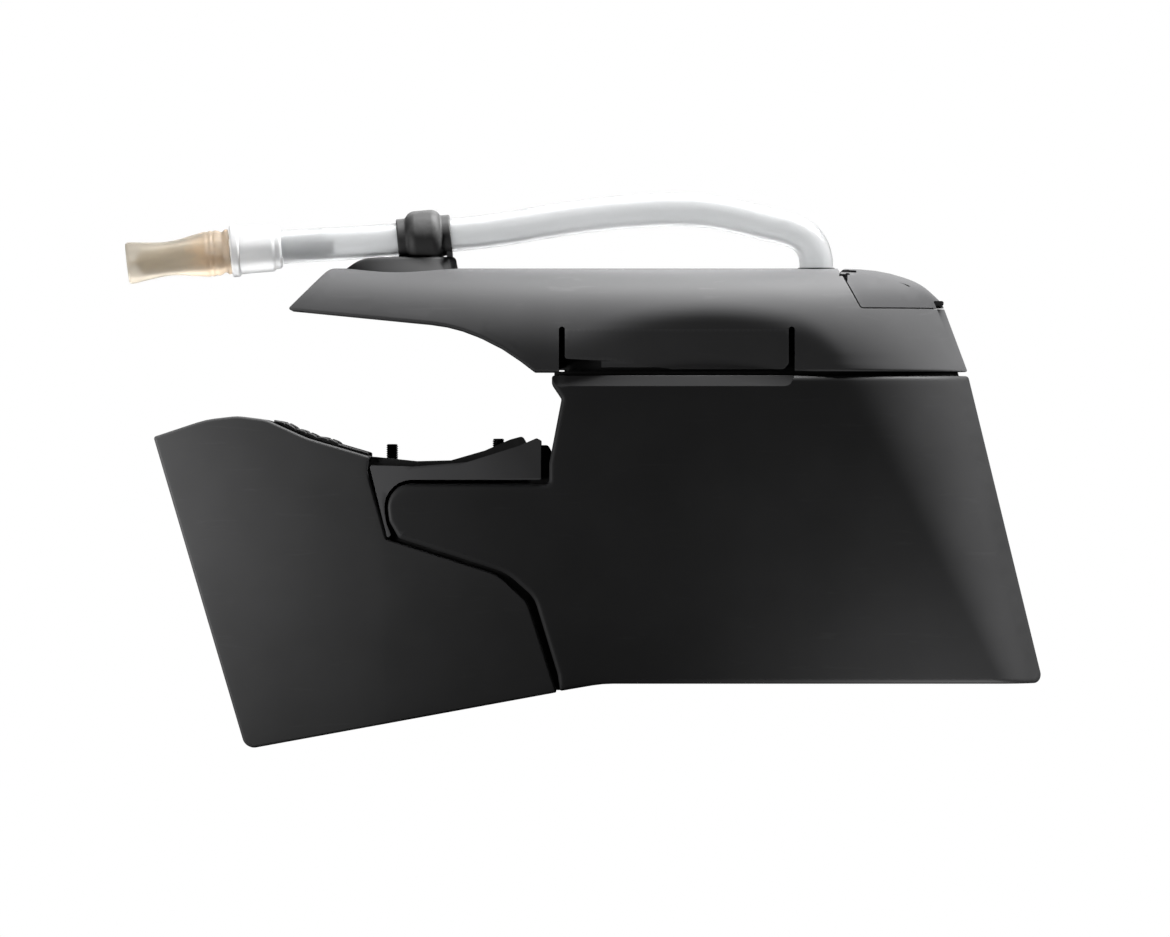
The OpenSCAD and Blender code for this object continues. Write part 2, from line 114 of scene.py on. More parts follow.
def add_world(seen, lit):
    world = bpy.data.worlds.new("studio")
    bpy.context.scene.world = world
    world.use_nodes = True
    tree = world.node_tree
    tree.nodes.clear()
    out = tree.nodes.new("ShaderNodeOutputWorld")
    mix = tree.nodes.new("ShaderNodeMixShader")
    rays = tree.nodes.new("ShaderNodeLightPath")
    for slot, level in ((1, lit), (2, seen)):
        glow = tree.nodes.new("ShaderNodeBackground")
        glow.inputs["Color"].default_value = (level, level, level, 1)
        tree.links.new(glow.outputs[0], mix.inputs[slot])
    either = tree.nodes.new("ShaderNodeMath")
    either.operation = "MAXIMUM"
    tree.links.new(rays.outputs["Is Camera Ray"], either.inputs[0])
    tree.links.new(rays.outputs["Is Transmission Ray"], either.inputs[1])
    tree.links.new(either.outputs[0], mix.inputs[0])
    tree.links.new(mix.outputs[0], out.inputs["Surface"])


def add_studio():
    """White surroundings, which hardly light the object, and a strip light above with weak fills."""
    bpy.context.scene.view_settings.view_transform = "Standard"
    add_world(seen=1.0, lit=0.009)
    for name, settings in LIGHTS.items():
        add_light(name, *settings)
    add_floor()


def add_floor():
    mesh = bpy.data.meshes.new("floor")
    turns = [2 * math.pi * i / FLOOR_SIDES for i in range(FLOOR_SIDES)]
    ring = [(FLOOR_R * math.cos(a), FLOOR_R * math.sin(a), FLOOR_Z) for a in turns]
    mesh.from_pydata(ring, [], [list(range(FLOOR_SIDES))])
    floor = link("floor", mesh)
    floor.visible_diffuse = False
    floor.visible_glossy = False
    mesh.materials.append(floor_finish())


# ---- Materials ----


def new_material(name, **sockets):
    material = bpy.data.materials.new(name)
    material.use_nodes = True
    shader = material.node_tree.nodes["Principled BSDF"]
    for socket, value in sockets.items():
        shader.inputs[socket.replace("_", " ")].default_value = value
    return material, shader


def floor_finish():
    material, shader = new_material("pale_floor", Roughness=0.9)
    shader.inputs["Base Color"].default_value = (0.86, 0.86, 0.86, 1)
    return material


class Nodes:
    """Short forms for the nodes that the finishes share."""

    def __init__(self, material, shader):
        self.tree = material.node_tree
        self.shader = shader
        self.coords = self.tree.nodes.new("ShaderNodeTexCoord").outputs["Object"]

    def join(self, source, target):
        self.tree.links.new(source, target)

    def noise(self, scale, detail=2.0, stretch=None, distortion=0.0):
        node = self.tree.nodes.new("ShaderNodeTexNoise")
        node.inputs["Scale"].default_value = scale
        node.inputs["Detail"].default_value = detail
        node.inputs["Distortion"].default_value = distortion
        source = self.coords
        if stretch:
            mapping = self.tree.nodes.new("ShaderNodeMapping")
            mapping.inputs["Scale"].default_value = stretch
            self.join(self.coords, mapping.inputs["Vector"])
            source = mapping.outputs["Vector"]
        self.join(source, node.inputs["Vector"])
        return node.outputs["Fac"]

    def ranged(self, value, low, high, to_low, to_high):
        node = self.tree.nodes.new("ShaderNodeMapRange")
        for socket, number in zip(
            ("From Min", "From Max", "To Min", "To Max"), (low, high, to_low, to_high)
        ):
            node.inputs[socket].default_value = number
        self.join(value, node.inputs["Value"])
        return node.outputs["Result"]

    def math(self, operation, a, b):
        node = self.tree.nodes.new("ShaderNodeMath")
        node.operation = operation
        for i, value in enumerate((a, b)):
            if isinstance(value, (int, float)):
                node.inputs[i].default_value = value
            else:
                self.join(value, node.inputs[i])
        return node.outputs[0]

    def mix(self, factor, a, b):
        node = self.tree.nodes.new("ShaderNodeMix")
        node.data_type = "RGBA"
        self.join(factor, node.inputs["Factor"])
        for socket, value in (("A", a), ("B", b)):
            target = [s for s in node.inputs if s.name == socket and s.type == "RGBA"][0]
            if isinstance(value, tuple):
                target.default_value = (*value, 1)
            else:
                self.join(value, target)
        return [s for s in node.outputs if s.type == "RGBA"][0]

    def painted_edge_highlight(self):
        # Convex-edge mask for a painted highlight that stands in for glints on rounded rims.
        sharpness = self.tree.nodes.new("ShaderNodeNewGeometry").outputs["Pointiness"]
        return self.ranged(sharpness, 0.53, 0.6, 0.0, 1.0)

    def bump(self, height, strength, distance):
        node = self.tree.nodes.new("ShaderNodeBump")
        node.inputs["Strength"].default_value = strength
        node.inputs["Distance"].default_value = distance
        self.join(height, node.inputs["Height"])
        self.join(node.outputs["Normal"], self.shader.inputs["Normal"])


CLOUDING = 0.16


def shade(color, factor):
    return tuple(min(1.0, c * factor) for c in color)


def moulded_plastic(name, color, roughness, edge_highlight_gain=2.2):
    """Satin moulded plastic: fine spark-erosion grain, faint clouding, rub marks and painted edge
    highlights.
    """
    material, shader = new_material(name, Specular_IOR_Level=0.3)
    nodes = Nodes(material, shader)
    clouds = nodes.noise(45, 4)
    rubs = nodes.noise(60, 5, stretch=(1.0, 1.0, 9.0), distortion=0.6)
    marks = nodes.ranged(rubs, 0.62, 0.78, 0.0, 1.0)
    body = nodes.mix(clouds, shade(color, 1 - CLOUDING), shade(color, 1 + CLOUDING))
    rubbed = nodes.mix(nodes.math("MULTIPLY", marks, 0.25), body, shade(color, 1.7))
    # Painted highlight: the base colour is lightened at convex edges in place of glints on the rounded
    # rims.
    edge_highlighted = nodes.mix(
        nodes.math("MULTIPLY", nodes.painted_edge_highlight(), 0.5), rubbed, shade(color, edge_highlight_gain)
    )
    nodes.join(edge_highlighted, shader.inputs["Base Color"])
    satin = nodes.ranged(clouds, 0.3, 0.7, roughness - 0.03, roughness + 0.04)
    nodes.join(nodes.math("SUBTRACT", satin, nodes.math("MULTIPLY", marks, 0.05)),
               shader.inputs["Roughness"])
    pits = nodes.noise(4200, 2)
    ripple = nodes.noise(140, 2)
    height = nodes.math("ADD", pits, nodes.math("MULTIPLY", ripple, 0.6))
    nodes.bump(height, 0.35, 0.000008)
    return material


def rubber(name, color, roughness=0.62):
    material, shader = new_material(name)
    nodes = Nodes(material, shader)
    dust = nodes.ranged(nodes.noise(180, 6), 0.52, 0.75, 0.0, 0.5)
    nodes.join(nodes.mix(dust, color, shade(color, 2.4)), shader.inputs["Base Color"])
    nodes.join(
        nodes.ranged(nodes.noise(90, 3), 0.3, 0.7, roughness - 0.06, roughness + 0.08),
        shader.inputs["Roughness"],
    )
    nodes.bump(nodes.noise(2600, 3), 0.5, 0.00005)
    return material


def metal(name, color, roughness):
    material, shader = new_material(name, Metallic=1.0)
    nodes = Nodes(material, shader)
    lines = nodes.noise(900, 3, stretch=(1.0, 1.0, 12.0))
    nodes.join(nodes.mix(lines, shade(color, 0.75), shade(color, 1.15)), shader.inputs["Base Color"])
    nodes.join(
        nodes.ranged(lines, 0.3, 0.7, roughness - 0.07, roughness + 0.09), shader.inputs["Roughness"]
    )
    nodes.bump(lines, 0.25, 0.00003)
    return material


def milky_tube(name):
    material, shader = new_material(name, IOR=1.33)
    shader.inputs["Transmission Weight"].default_value = 0.9
    nodes = Nodes(material, shader)
    streaks = nodes.noise(70, 4, stretch=(0.35, 1.0, 1.0))
    nodes.join(
        nodes.mix(streaks, (0.76, 0.77, 0.775), (0.85, 0.855, 0.86)), shader.inputs["Base Color"]
    )
    nodes.join(nodes.ranged(streaks, 0.3, 0.7, 0.30, 0.42), shader.inputs["Roughness"])
    nodes.bump(nodes.noise(260, 3, stretch=(0.4, 1.0, 1.0)), 0.25, 0.00006)
    return material


def white_plastic(name):
    material, shader = new_material(name, IOR=1.4)
    shader.inputs["Transmission Weight"].default_value = 0.5
    nodes = Nodes(material, shader)
    clouds = nodes.noise(160, 4)
    nodes.join(
        nodes.mix(clouds, (0.86, 0.865, 0.87), (0.93, 0.93, 0.93)), shader.inputs["Base Color"]
    )
    nodes.join(nodes.ranged(clouds, 0.3, 0.7, 0.38, 0.5), shader.inputs["Roughness"])
    nodes.bump(nodes.noise(1500, 2), 0.25, 0.00004)
    return material


def silicone(name, pale, dark, start_x, end_x):
    """Cloudy silicone that turns from pale to dark along X, with streaks."""
    material, shader = new_material(name, IOR=1.3)
    shader.inputs["Transmission Weight"].default_value = 0.84
    nodes = Nodes(material, shader)
    split = nodes.tree.nodes.new("ShaderNodeSeparateXYZ")
    nodes.join(nodes.coords, split.inputs[0])
    blotch = nodes.ranged(nodes.noise(240, 4), 0.3, 0.7, -0.003, 0.003)
    place = nodes.math("ADD", split.outputs["X"], blotch)
    along = nodes.ranged(place, start_x * MM, end_x * MM, 0.0, 1.0)
    body = nodes.mix(along, pale, dark)
    streaks = nodes.ranged(nodes.noise(420, 5, stretch=(0.3, 1.0, 1.0)), 0.45, 0.7, 0.0, 0.45)
    nodes.join(nodes.mix(streaks, body, shade(dark, 0.85)), shader.inputs["Base Color"])
    nodes.join(nodes.ranged(nodes.noise(300, 3), 0.3, 0.7, 0.48, 0.62), shader.inputs["Roughness"])
    nodes.bump(nodes.noise(700, 4), 0.35, 0.00005)
    return material


def make_finishes():
    return {
        "black_nylon": moulded_plastic("black_nylon", (0.09, 0.09, 0.092), 0.6),
        "grey_black_nylon": moulded_plastic("grey_black_nylon", (0.06, 0.06, 0.061), 0.6),
        "black_tank": moulded_plastic("black_tank", (0.045, 0.045, 0.046), 0.58),
        "black_cover": moulded_plastic("black_cover", (0.085, 0.085, 0.087), 0.62),
        "grey_door": moulded_plastic("grey_door", (0.062, 0.062, 0.064), 0.7, edge_highlight_gain=1.5),
        "ring_rubber": rubber("ring_rubber", (0.05, 0.05, 0.05), 0.6),
        "black_rubber": rubber("black_rubber", (0.018, 0.018, 0.018)),
        "black_steel": metal("black_steel", (0.05, 0.05, 0.052), 0.38),
        "pin_steel": metal("pin_steel", (0.55, 0.55, 0.56), 0.28),
        "brass": metal("brass", (0.72, 0.52, 0.24), 0.32),
        "clear_tube": milky_tube("clear_tube"),
        "white_connector": white_plastic("white_connector"),
        "tan_silicone": silicone("tan_silicone", (0.74, 0.61, 0.47), (0.58, 0.53, 0.45), -80, -86),
    }


# ---- Outlines and mesh builders ----


def outline(corners, inset=0.0, step=7.5, spacing=2.0):
    """Points of a rounded outline moved inward. Every inset gives the same number of points."""
    n = len(corners)
    points = [Vector(c[:2]) for c in corners]
    area = sum(points[i - 1].cross(points[i]) for i in range(n))
    arcs, plain = [], []
    for i, (p, corner) in enumerate(zip(points, corners)):
        u = (points[i - 1] - p).normalized()
        v = (points[(i + 1) % n] - p).normalized()
        bend = (u + v).normalized()
        half = math.acos(max(-1, min(1, u.dot(v)))) / 2
        side = -1 if u.cross(v) * area > 0 else 1
        first = u / math.tan(half) - bend / math.sin(half)
        last = v / math.tan(half) - bend / math.sin(half)
        turn = math.atan2(first.cross(last), first.dot(last))
        pieces = max(1, math.ceil(abs(math.degrees(turn)) / step))
        centre = p + bend * corner[2] / math.sin(half)
        radius = corner[2] - side * inset
        mitre = p + bend * side * inset / math.sin(half)
        arcs.append([])
        plain.append([])
        for k in range(pieces + 1):
            direction = Matrix.Rotation(turn * k / pieces, 2) @ first
            arcs[-1].append(centre + direction * radius if radius > 0 else mitre)
            plain[-1].append(centre + direction * corner[2])
    path = []
    for i in range(n):
        path += arcs[i]
        gap = (plain[(i + 1) % n][0] - plain[i][-1]).length
        pieces = max(1, round(gap / spacing))
        path += [arcs[i][-1].lerp(arcs[(i + 1) % n][0], k / pieces) for k in range(1, pieces)]
    return path


def inside(points, polygon):
    """Which points lie inside a polygon, as a numpy mask."""
    p, a = np.array(points), np.array(polygon)
    b = np.roll(a, -1, axis=0)
    x, z = p[:, 0, None], p[:, 1, None]
    spans = (a[:, 1] > z) != (b[:, 1] > z)
    rise = np.where(b[:, 1] == a[:, 1], 1e-9, b[:, 1] - a[:, 1])
    crossing = a[:, 0] + (z - a[:, 1]) * (b[:, 0] - a[:, 0]) / rise
    return (spans & (x < crossing)).sum(1) % 2 == 1


def grid_inside(ring, spacing):
    flat = np.array([tuple(p) for p in ring])
    low, high = flat.min(0), flat.max(0)
    rows = np.arange(low[1] + spacing / 2, high[1], spacing)
    points = []
    for i, z in enumerate(rows):
        start = low[0] + (spacing / 2 if i % 2 else 0)
        points += [(x, z) for x in np.arange(start, high[0], spacing)]
    points = np.array(points)
    points = points[inside(points, flat)]
    gap = np.sqrt(((points[:, None] - flat[None]) ** 2).sum(2)).min(1)
    return points[gap > 0.7 * spacing]


def to_object(name, bm):
    bmesh.ops.recalc_face_normals(bm, faces=bm.faces)
    mesh = bpy.data.meshes.new(name)
    bm.to_mesh(mesh)
    bm.free()
    return link(name, mesh)


def strip(bm, a, b):
    """Quads between two closed rows of points."""
    n = len(a)
    for i in range(n):
        j = (i + 1) % n
        quad = [a[i], a[j], b[j], b[i]]
        if len(set(quad)) == 4:
            bm.faces.new(quad)


def skin(name, corners, half, edge, insets=None, spacing=2.0, drop=0.0):
    """A closed form: the side outline, with half(x, z) as its half width and edges rounded by edge.
    drop moves the whole surface inward along its normals."""
    if insets is None:
        insets = [edge * (1 - math.cos(math.pi / 2 * k / 4)) for k in range(5)]
    rings = [outline(corners, d, spacing=spacing) for d in insets]
    fill = grid_inside(rings[-1], spacing)

    def width(x, z, d):
        h = max(0.0, half(x, z))
        cut = edge - math.sqrt(max(0.0, edge**2 - (edge - d) ** 2)) if d < edge else 0.0
        return max(0.0, h - cut * min(1.0, h / 8))

    last = [tuple(p) for p in rings[-1]]
    cdt = delaunay_2d_cdt(
        [Vector(p) for p in last] + [Vector(p) for p in fill], [], [list(range(len(last)))], 1, 1e-4
    )
    bm = bmesh.new()
    first_rows = []
    for side in (-1, 1):
        rows = [
            [bm.verts.new((p[0] * MM, side * width(p[0], p[1], d) * MM, p[1] * MM)) for p in ring]
            for d, ring in zip(insets, rings)
        ]
        for a, b in zip(rows, rows[1:]):
            strip(bm, a, b)
        inner = []
        for p, origin in zip(cdt[0], cdt[3]):
            known = [i for i in origin if i < len(last)]
            if known:
                inner.append(rows[-1][known[0]])
            else:
                inner.append(
                    bm.verts.new((p[0] * MM, side * width(p[0], p[1], insets[-1]) * MM, p[1] * MM))
                )
        for face in cdt[2]:
            corners_of = [inner[i] for i in face]
            if len(set(corners_of)) == 3:
                bm.faces.new(corners_of)
        first_rows.append(rows[0])
    strip(bm, *first_rows)
    bmesh.ops.remove_doubles(bm, verts=bm.verts, dist=0.015 * MM)
    bmesh.ops.dissolve_degenerate(bm, edges=bm.edges, dist=0.001 * MM)
    bmesh.ops.holes_fill(bm, edges=[e for e in bm.edges if e.is_boundary], sides=12)
    if drop:
        bmesh.ops.recalc_face_normals(bm, faces=bm.faces)
        bm.normal_update()
        moved = [v.co - v.normal * drop * MM for v in bm.verts]
        for v, co in zip(bm.verts, moved):
            v.co = co
    return to_object(name, bm)


def prism(name, points, low, high, axis="Y"):
    """A closed prism of a flat outline. Axis Y takes points as x, z; X as y, z; Z as x, y."""
    place = {
        "Y": lambda p, t: (p[0], t, p[1]),
        "X": lambda p, t: (t, p[0], p[1]),
        "Z": lambda p, t: (p[0], p[1], t),
    }[axis]
    bm = bmesh.new()
    ends = [[bm.verts.new(Vector(place(p, t)) * MM) for p in points] for t in (low, high)]
    strip(bm, *ends)
    for end in ends:
        bm.faces.new(end)
    return to_object(name, bm)


def block(name, low, high):
    (x0, y0, z0), (x1, y1, z1) = low, high
    return prism(name, [(x0, y0), (x1, y0), (x1, y1), (x0, y1)], z0, z1, "Z")


def side_span(side, near, far):
    """Y from and to for a tool that works on one side, -1 for right or 1 for left."""
    return sorted((side * near, side * far))


def apply_modifiers(obj):
    bpy.context.view_layer.update()
    evaluated = obj.evaluated_get(bpy.context.evaluated_depsgraph_get())
    mesh = bpy.data.meshes.new_from_object(evaluated)
    obj.modifiers.clear()
    obj.data = mesh
    return obj


def combine(obj, operation, *tools):
    for tool in tools:
        boolean = obj.modifiers.new("boolean", "BOOLEAN")
        boolean.operation = operation
        boolean.object = tool
        boolean.solver = "MANIFOLD"
        apply_modifiers(obj)
        bpy.data.objects.remove(tool)
    return obj


def cut(obj, *tools):
    return combine(obj, "DIFFERENCE", *tools)


def join(obj, *others):
    return combine(obj, "UNION", *others)


def keep(obj, tool):
    return combine(obj, "INTERSECT", tool)


def smooth(obj, angle=28):
    """Smooth shading that keeps sharp edges, with large faces setting the normals."""
    mesh = obj.data
    mesh.shade_smooth()
    mesh.set_sharp_from_angle(angle=math.radians(angle))
    weighted = obj.modifiers.new("weighted", "WEIGHTED_NORMAL")
    weighted.keep_sharp = True
    return apply_modifiers(obj)


def finish_piece(obj, slot_name, body=None, replaced=(), angle=28, finish=None):
    smooth(obj, angle)
    obj.data.materials.clear()
    obj.data.materials.append(FINISHES[finish or slot_name])
    if body:
        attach(obj, body)
    if replaced:
        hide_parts(*replaced)
    return obj


def from_cad(node, name, slot_name, body, width):
    """A copy of a CAD node with its hard edges rounded over."""
    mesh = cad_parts[node].data.copy()
    bm = bmesh.new()
    bm.from_mesh(mesh)
    bmesh.ops.remove_doubles(bm, verts=bm.verts, dist=0.002 * MM)
    bmesh.ops.dissolve_limit(bm, angle_limit=math.radians(1.0), verts=bm.verts, edges=bm.edges)
    bpy.data.meshes.remove(mesh)
    obj = to_object(name, bm)
    bevel = obj.modifiers.new("bevel", "BEVEL")
    bevel.width = width * MM
    bevel.segments = 3
    bevel.limit_method = "ANGLE"
    bevel.angle_limit = math.radians(30)
    bevel.use_clamp_overlap = True
    apply_modifiers(obj)
    return finish_piece(obj, slot_name, body, (node,), angle=35)


def turned(name, profile, at, tilt, squeeze=None, closed=True):
    """A ring or solid turned about an axis that lies along X and rises by tilt degrees at its front.
    profile is radius, place along the axis; squeeze(s) narrows the width at place s."""
    steps = 72
    turn = Matrix.Translation(Vector(at)) @ Matrix.Rotation(math.radians(-tilt), 4, "Y")
    bm = bmesh.new()
    rows = []
    for radius, s in profile:
        narrow = squeeze(s) if squeeze else 1.0
        if radius < 1e-6:
            rows.append([bm.verts.new(turn @ Vector((s, 0, 0)) * MM)] * steps)
            continue
        rows.append([])
        for k in range(steps):
            a = 2 * math.pi * k / steps
            point = Vector((s, radius * narrow * math.cos(a), radius * math.sin(a)))
            rows[-1].append(bm.verts.new(turn @ point * MM))
    pairs = list(zip(rows, rows[1:])) + ([(rows[-1], rows[0])] if closed else [])
    for a, b in pairs:
        for k in range(steps):
            j = (k + 1) % steps
            corners = list(dict.fromkeys([a[k], a[j], b[j], b[k]]))
            if len(corners) > 2:
                bm.faces.new(corners)
    return to_object(name, bm)


# ---- Forms ----

NOSE_FOOT_Z = -72.9
NOSE_LEAN = 0.2436
NOSE_FOOT_X = 198.1
COVER_LEAN = 0.3744
COVER_TIP = 173.2
CROWN_POWER = 2.6
TAIL_HALF = 18.5
DISH_X, DISH_HALF, DISH_R, DISH_BLEND = 86.0, 26.2, 286.0, 1.2
SEAM = [[-25.2, -3.1, 1], [-18.9, -25.2, 1.5], [18.0, -37.0, 14], [27.5, -46.0, 8]]
COVER_REAR = [[29.6, COVER_EDGE, 1.2], [19.0, 38.0, 60], [3.0, 45.0, 50]]
COVER_ROOF = [
    [-52.0, 50.3, 0.6], [-38.1, COVER_TOP, 5], [130.0, COVER_TOP, 60], [145.0, 63.6, 50],
    [157.6, 59.2, 20], [164.7, 52.6, 1.5],
]
COVER_FRONT = [[COVER_TIP, COVER_EDGE, 0.6]]
COVER_INSETS = [0, 0.01, 0.05, 0.14, 0.3, 0.6, 1.0, 1.6, 2.4]


def nose_x(z):
    return NOSE_FOOT_X - (z - NOSE_FOOT_Z) * NOSE_LEAN


def nose_length(z):
    return 16 + 28 * (z - NOSE_FOOT_Z) / (COVER_EDGE - NOSE_FOOT_Z)


def ellipse_nose(x, tip, length):
    t = max(0.0, (x - tip + length) / length)
    return math.sqrt(max(0.0, 1 - t * t))


def tank_half(x, z):
    return HALF_W * ellipse_nose(x, nose_x(z), nose_length(z))


RESERVOIR = [
    [38.0, -75.3, 0.8], [52.0, -72.9, 40], [nose_x(-72.9), -72.9, 3], [nose_x(28.5), 28.5, 1.5],
    [35.4, 28.5, 0.9], [35.4, 25.6, 2], [38.6, 20.8, 2], [34.5, -0.5, 4], [34.5, -7.0, 1.2],
    [-19.9, -7.0, 8], [-18.3, -19.5, 4], [-14.9, -25.0, 2], [20.5, -36.4, 18], [29.6, -44.6, 10],
    [37.3, -69.8, 2],
]
REAR_NOTCH = [corner[:2] for corner in RESERVOIR[5:7]]
NOSE_INSETS = [0, 0.03, 0.12, 0.28, 0.5, 0.8, 1.2, 1.8]


def roof_height(x):
    """Height of the cover's roof line, carried on down past its front corner."""
    a, b = (Vector(corner[:2]) for corner in COVER_ROOF[-2:])
    if x > 161:
        return a.y + (x - a.x) * (b.y - a.y) / (b.x - a.x)
    points = ROOF_POINTS
    if x <= points[0][0]:
        return COVER_TOP
    for p, q in zip(points, points[1:]):
        if p[0] <= x <= q[0]:
            return p[1] + (q[1] - p[1]) * (x - p[0]) / (q[0] - p[0])
    return points[-1][1]


ROOF_POINTS = [
    (p.x, p.y)
    for p in outline(COVER_REAR + COVER_ROOF + COVER_FRONT, spacing=1.0, step=1.0)
    if 100 < p.x < 163 and p.y > 53
]


def cover_half(x, z):
    u = max(0.0, (z - COVER_EDGE) / (roof_height(x) - COVER_EDGE))
    crown = max(0.0, 1 - u**CROWN_POWER) ** (1 / CROWN_POWER)
    tip = COVER_TIP - (z - COVER_EDGE) * COVER_LEAN
    length = 44 + 16 * max(0.0, z - COVER_EDGE) / 40
    nose = ellipse_nose(x, tip, length)
    if crown < 1e-6 or nose < 1e-6:
        return 0.0
    both = (crown**-3 + nose**-3 - 1) ** (-1 / 3)
    side = both * (HALF_W - (HALF_W - TAIL_HALF) * (max(0.0, 40 - x) / 100) ** 2)
    dish = DISH_HALF + (x - DISH_X) ** 2 / (2 * DISH_R)
    near = max(0.0, DISH_BLEND - abs(side - dish)) / DISH_BLEND
    return max(0.0, min(side, dish) - near**2 * DISH_BLEND / 4 * min(1.0, side / 4))


def fairing_half(x, z):
    return min(HALF_W, 23 + (x + 180) * 9 / 240)


def cover_form(name, drop=0.0):
    """The cover's outer form, or the same form moved inward and open below to hollow it."""
    if not drop:
        side = COVER_REAR + COVER_ROOF + COVER_FRONT
        return skin(name, side, cover_half, 0.6, COVER_INSETS, 1.8)
    roof = [[-52.0, 10, 1], [-52.0, 50.3, 3], [-38.1, COVER_TOP, 6]] + COVER_ROOF[2:]
    roof[-1] = COVER_ROOF[-1][:2] + [6]
    corners = roof + [[COVER_TIP + 19.9 * COVER_LEAN, 10, 1]]
    return skin(name, corners, cover_half, 4.0, COVER_INSETS, 2.4, drop)


# ---- Reservoir ----


def plan_points(z, rear, inset):
    """Plan of the reservoir at height z from rear forward, moved inward."""
    tip, length = nose_x(z), nose_length(z)
    steps = 24
    side = []
    for k in range(steps + 1):
        a = math.pi / 2 * k / steps
        p = Vector((tip - length + length * math.sin(a), HALF_W * math.cos(a)))
        normal = Vector((math.sin(a) / length, math.cos(a) / HALF_W)).normalized()
        side.append(p - normal * inset)
    side[-1].y = 0
    corner = 3.0
    rear_arc = [
        (rear + corner * (1 - math.cos(a)), HALF_W - inset - corner * (1 - math.sin(a)))
        for a in [math.pi / 2 * k / 6 for k in range(7)]
    ]
    upper = rear_arc + [(p.x, p.y) for p in side]
    return upper + [(x, -y) for x, y in reversed(upper[:-1])]


def rail_profile(grow):
    neck, head, top, foot = 5.5 + grow, 9.5 + grow, -10.3 + grow, -15 - grow
    return [(-neck, -5), (neck, -5), (neck, top), (head, top), (head, foot), (-head, foot),
            (-head, top), (-neck, top)]


def neck_wall():
    """The neck's wall with a rounded rim, ready to be joined to the tank."""
    # Inset from the tank's plan, then height.
    layers = [(5.6, 27.0), (5.6, 34.9), (5.85, 35.3), (6.3, 35.4), (6.7, 35.4), (7.15, 35.3),
              (7.4, 34.9), (7.4, 27.0)]
    bm = bmesh.new()
    rows = []
    for inset, z in layers:
        plan = plan_points(31.0, 33.9 + inset, inset)
        rows.append([bm.verts.new((x * MM, y * MM, z * MM)) for x, y in plan])
    for a, b in zip(rows, rows[1:] + rows[:1]):
        strip(bm, a, b)
    return to_object("neck_wall", bm)


def tank_form(name):
    return skin(name, RESERVOIR, tank_half, 1.6, NOSE_INSETS, 1.8)


def make_reservoir():
    tank = tank_form("tank")
    # The hollow leaves out the rear notch, so it breaks through the rear wall there, z 11 to 23.
    inner = [c[:2] + [max(c[2], 4.0)] for c in RESERVOIR if c[:2] not in REAR_NOTCH]
    hollow = skin("hollow", inner, tank_half, 3.5, [0, 0.05, 0.3, 0.9, 1.8, 2.8, 3.5], 3.0, 1.8)
    cut(hollow, block("tongue", (-30, -13, -18), (34.4, 13, -5)))
    cut(tank, hollow)
    cut(tank, prism("mouth", plan_points(28.5, 41.3, 7.4), 20, 40, "Z"))
    join(tank, neck_wall())
    cut(tank, prism("t_slot", rail_profile(PLAY), -40, 32.2, "X"))
    ledge_side = outline([[34, 25.1, 0], [113.8, 25.1, 2.4], [116.2, 31, 0], [34, 31, 0]])
    for side in (-1, 1):
        slope = [(side * 29.0, 25.1), (side * 32, 25.1), (side * 32, 30), (side * 27.5, 30)]
        ledge = prism("ledge", slope, 30, 120, "X")
        reach = prism("ledge_side", ledge_side, *side_span(side, 20, 40))
        cut(tank, keep(ledge, reach))
    tank.name = "reservoir_shell"
    return finish_piece(tank, "black_tank", "reservoir", ("reservoir",))


# ---- Cover, tabs and door ----

TAB_X, TAB_L, TAB_Z, SLIT = 39.7, 73.6, 44.6, 2.0
TAB_END = TAB_X + TAB_L
TAB = [
    [TAB_X, TAB_Z - 1, 0], [TAB_X, 34.0, 0.9], [TAB_X + 17, 33.2, 4], [TAB_X + 35.3, 30.6, 8],
    [TAB_END - 1.6, 30.6, 1.0], [TAB_END, 32.4, 1.0], [TAB_END, TAB_Z - 1, 0],
]
WINDOW = [
    [TAB_X - SLIT, 20, 0], [TAB_X - SLIT, TAB_Z, SLIT / 2], [TAB_X, TAB_Z, SLIT / 2],
    [TAB_X, TAB_Z - 1, 0], [TAB_END, TAB_Z - 1, 0], [TAB_END, TAB_Z, SLIT / 2],
    [TAB_END + SLIT, TAB_Z, SLIT / 2], [TAB_END + SLIT, 20, 0],
]
DOOR = [[130.4, 80, 0], [130.4, 63.9, 0], [137.3, 51.0, 1.2], [190, 51.0, 0], [190, 80, 0]]
DOOR_LIP = [[161.6, 51.8, 0.3], [164.9, 51.8, 0.5], [164.9, 53.3, 0.6], [161.6, 53.3, 0.3]]

PIN = (133.0, 61.7)
PIN_R, PIN_HALF = 0.75, 14
KNUCKLE_R, KNUCKLE_HALF = 2.4, 13.5
LUG_R, LUG_Y, LUG_HALF = 1.9, 10.0, 1.3
STRAW_HOLE_R = 6.15
SLIT_RIBS = ((36, 39.68, 30.6), (112.6, 116.0, 35.45))  # x from, x to, z of the foot
SEAT_DROP, SEAT_FLOOR = 3.2, 4.8


def circle(x, z, radius, steps=48):
    turns = [2 * math.pi * k / steps for k in range(steps)]
    return [(x + radius * math.cos(a), z + radius * math.sin(a)) for a in turns]


def door_prism(grow):
    return prism("door_prism", outline(DOOR, -grow), -60, 60)


def copy_of(obj, name):
    return link(name, obj.data.copy())


